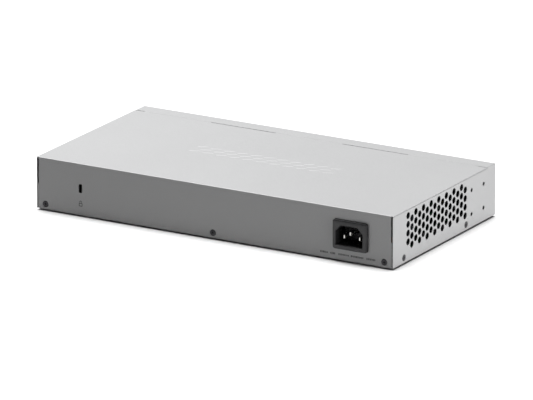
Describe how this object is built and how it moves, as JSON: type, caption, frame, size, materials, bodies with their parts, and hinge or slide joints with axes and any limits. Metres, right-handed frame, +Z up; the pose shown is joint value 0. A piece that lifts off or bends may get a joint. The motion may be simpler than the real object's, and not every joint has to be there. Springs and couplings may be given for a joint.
{
  "type": "desktop network switch",
  "caption": "Low, wide folded-steel desktop network switch with two stacked port blocks in front, a mains inlet behind and round vents in both side walls.",
  "frame": {"origin": "on the table, under the middle of the object's box", "axes": "+X to the right as seen from the ports' side, +Y from the ports towards the mains inlet, +Z up"},
  "size_m": [0.329, 0.1718, 0.0446],
  "materials": {
    "case_paint": "satin",
    "screw_dark": "satin",
    "screw_zinc": "satin",
    "foot_rubber": "matte",
    "inlet_plastic": "satin",
    "pin_plating": "polished",
    "port_shield": "satin",
    "port_plastic": "satin",
    "circuit_board": "satin",
    "chip_epoxy": "matte",
    "heatsink": "satin",
    "light_pipe": "gloss",
    "button_plastic": "satin",
    "winding": "satin",
    "component_sleeve": "gloss",
    "fan_plastic": "satin",
    "wire_brown": "satin",
    "wire_blue": "satin",
    "wire_green": "satin",
    "wire_red": "satin",
    "wire_white": "satin"
  },
  "bodies": {
    "case": {"front_frame": "case_paint", "top_cover": "case_paint", "bottom_pan": "case_paint", "cover_screw_1": "screw_dark", "cover_screw_2": "screw_dark", "cover_screw_3": "screw_dark", "side_screw_1": "screw_dark", "side_screw_2": "screw_dark", "side_screw_3": "screw_dark", "side_screw_4": "screw_dark", "fan_screw_1": "screw_dark", "fan_screw_2": "screw_dark", "fan_screw_3": "screw_dark", "fan_screw_4": "screw_dark", "foot_1": "foot_rubber", "foot_2": "foot_rubber", "foot_3": "foot_rubber", "foot_4": "foot_rubber", "inlet_housing": "inlet_plastic", "inlet_pin_line": "pin_plating", "inlet_pin_neutral": "pin_plating", "inlet_pin_earth": "pin_plating", "port_shield_left": "port_shield", "port_insert_left": "port_plastic", "port_shield_right": "port_shield", "port_insert_right": "port_plastic", "main_board": "circuit_board", "psu_board": "circuit_board", "board_screw_1": "screw_zinc", "psu_screw_1": "screw_zinc", "magnetics_1": "chip_epoxy", "board_screw_2": "screw_zinc", "psu_screw_2": "screw_zinc", "magnetics_2": "chip_epoxy", "board_screw_3": "screw_zinc", "psu_screw_3": "screw_zinc", "magnetics_3": "chip_epoxy", "board_screw_4": "screw_zinc", "psu_screw_4": "screw_zinc", "magnetics_4": "chip_epoxy", "switch_chip": "chip_epoxy", "switch_heatsink": "heatsink", "psu_heatsink": "heatsink", "power_light_pipe": "light_pipe", "poe_light_pipe": "light_pipe", "reset_switch": "chip_epoxy", "psu_transformer": "component_sleeve", "psu_capacitor_1": "component_sleeve", "psu_capacitor_2": "component_sleeve", "psu_choke": "winding", "fan_frame": "fan_plastic", "line_wire": "wire_brown", "neutral_wire": "wire_blue", "earth_wire": "wire_green", "dc_harness": "wire_red", "fan_lead": "wire_white"},
    "button": {"reset_button": "button_plastic"},
    "rotor": {"fan_rotor": "fan_plastic"}
  },
  "joints": [
    {"name": "reset_press", "type": "slide", "parent": "case", "child": "button", "axis": [0, 1, 0], "range_m": [0, 0.0005], "stiffness_N_per_m": 600},
    {"name": "fan_spin", "type": "hinge", "parent": "case", "child": "rotor", "pos_m": [0.1515, 0.03305, 0.023], "axis": [1, 0, 0], "continuous": true}
  ]
}
